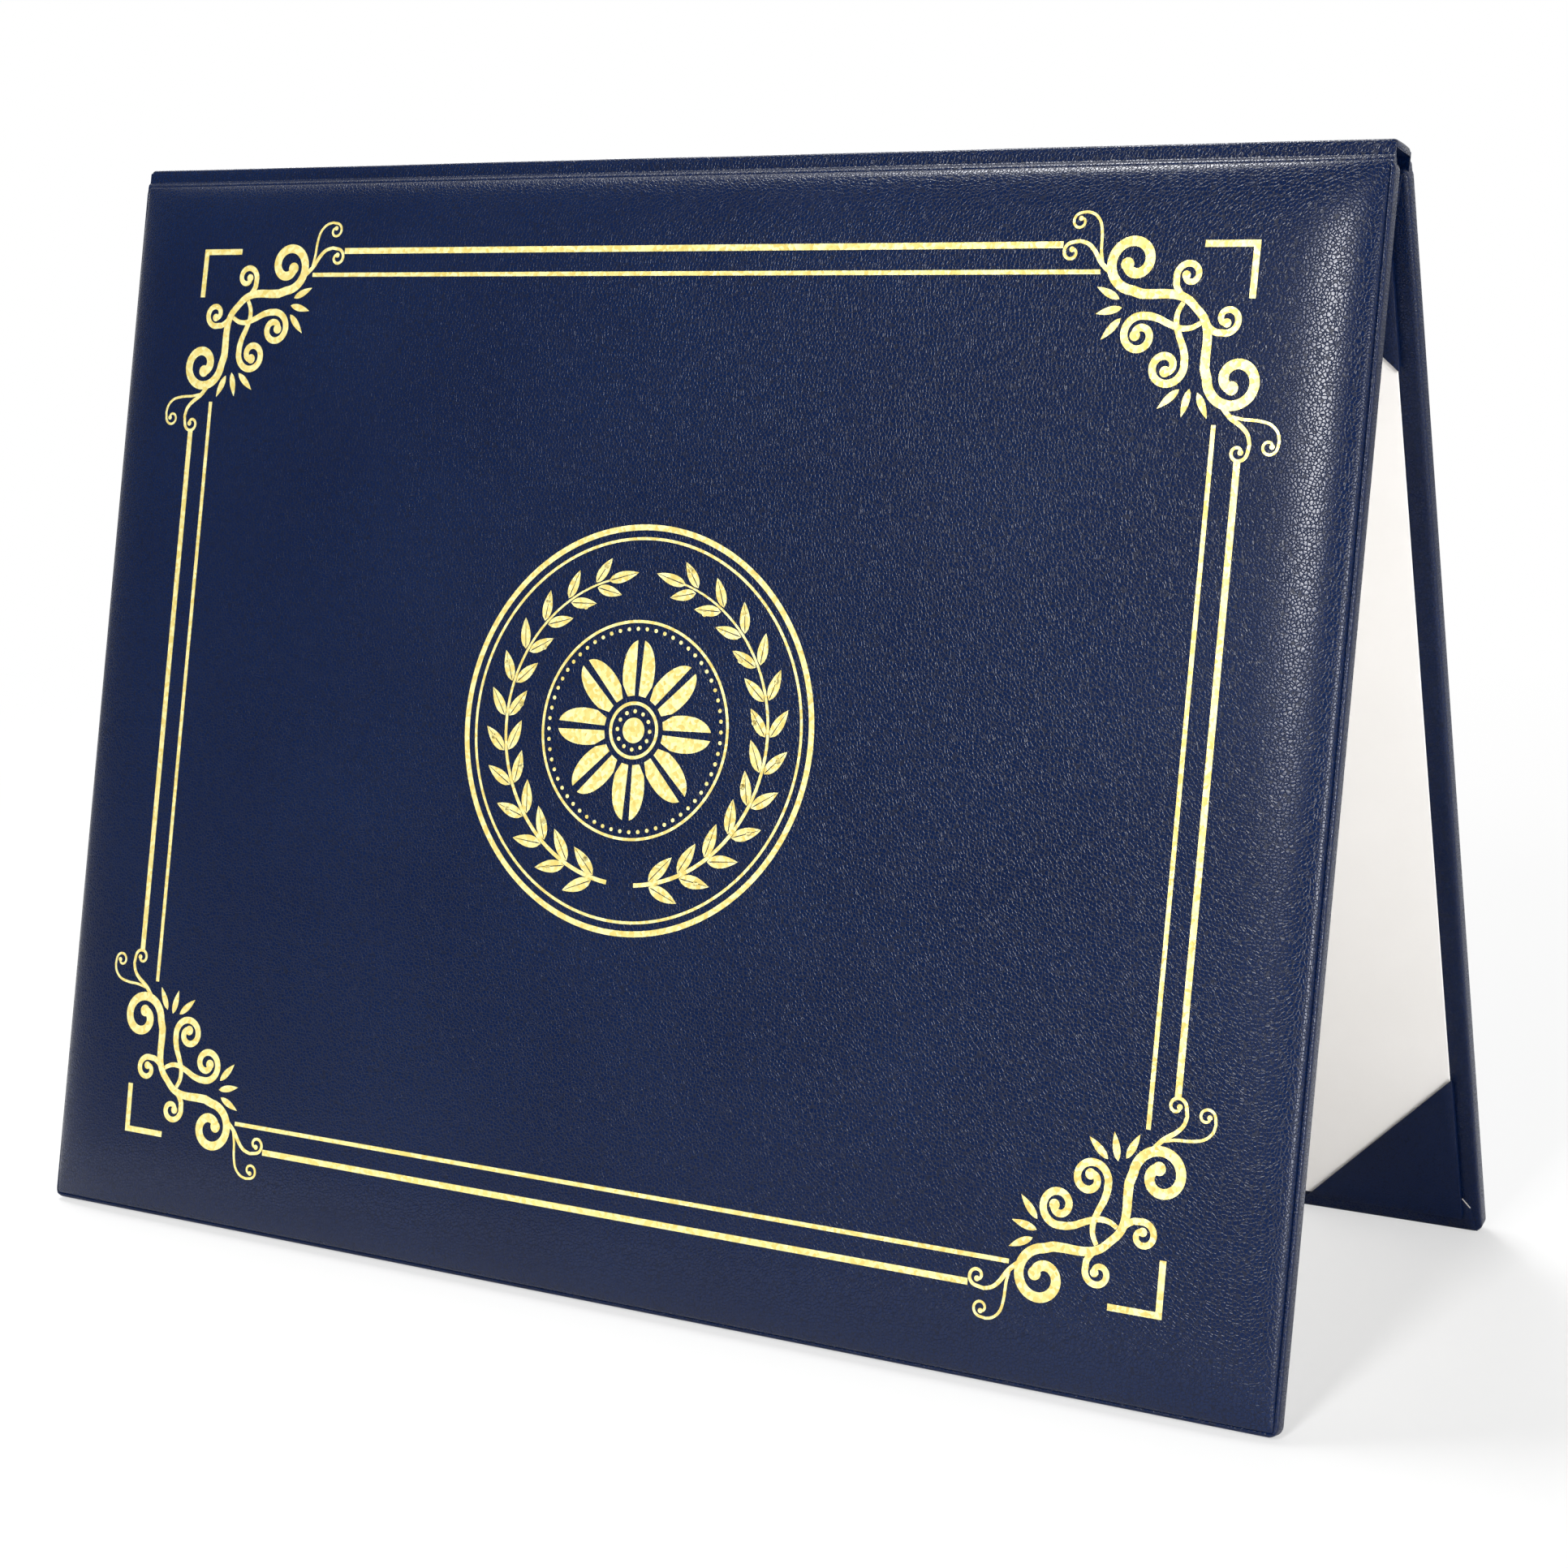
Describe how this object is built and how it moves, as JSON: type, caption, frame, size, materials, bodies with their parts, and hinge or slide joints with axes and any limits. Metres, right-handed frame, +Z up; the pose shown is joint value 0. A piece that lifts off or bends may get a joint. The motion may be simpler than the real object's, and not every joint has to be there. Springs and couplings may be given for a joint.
{
  "type": "diploma cover",
  "caption": "Padded landscape certificate cover standing open as a tent, hinged covers with gold border and medallion, white lining and corner pockets.",
  "frame": {"origin": "middle of the standing cover's footprint, on the surface it stands on", "axes": "+X along the fold to the right seen from the front cover, +Y from the front cover to the back cover, +Z up"},
  "size_m": [0.296, 0.1282, 0.2299],
  "materials": {
    "navy_leatherette": "fine pebbled grain, semi-gloss",
    "navy_leatherette_inside": "fine grain, satin",
    "white_lining": "matt",
    "greyboard": "raw",
    "foam": "open cell",
    "gold_foil": "hot-stamped, fine speckle"
  },
  "bodies": {
    "back_panel": {"back_wrap": "navy_leatherette", "back_padding": "foam", "back_board": "greyboard", "back_lining": "white_lining", "pocket_low_left": "navy_leatherette_inside", "pocket_low_right": "navy_leatherette_inside", "pocket_high_left": "navy_leatherette_inside", "pocket_high_right": "navy_leatherette_inside"},
    "spine": {"spine_wrap": "navy_leatherette", "spine_card": "greyboard", "spine_lining": "navy_leatherette_inside"},
    "front_panel": {"front_wrap": "navy_leatherette", "front_padding": "foam", "front_board": "greyboard", "front_lining": "white_lining", "foil_outer_line_top": "gold_foil", "foil_outer_line_bottom": "gold_foil", "foil_outer_line_left": "gold_foil", "foil_outer_line_right": "gold_foil", "foil_inner_line_top": "gold_foil", "foil_inner_line_bottom": "gold_foil", "foil_inner_line_left": "gold_foil", "foil_inner_line_right": "gold_foil", "foil_bracket_low_left": "gold_foil", "foil_bracket_low_right": "gold_foil", "foil_bracket_high_left": "gold_foil", "foil_bracket_high_right": "gold_foil", "foil_scrolls_low_left": "gold_foil", "foil_scrolls_low_right": "gold_foil", "foil_scrolls_high_left": "gold_foil", "foil_scrolls_high_right": "gold_foil", "foil_medallion_ring": "gold_foil", "foil_medallion_fine_ring": "gold_foil", "foil_wreath_left": "gold_foil", "foil_wreath_right": "gold_foil", "foil_medallion_inner_ring": "gold_foil", "foil_rosette": "gold_foil"}
  },
  "joints": [
    {"name": "back_fold", "type": "hinge", "parent": "back_panel", "child": "spine", "pos_m": [0, 0.00018, 0.2259], "axis": [-1, 0, 0], "range_deg": [-28.4, 61.6]},
    {"name": "front_fold", "type": "hinge", "parent": "spine", "child": "front_panel", "pos_m": [0, -0.00585, 0.22734], "axis": [-1, 0, 0], "range_deg": [0, 90]}
  ]
}
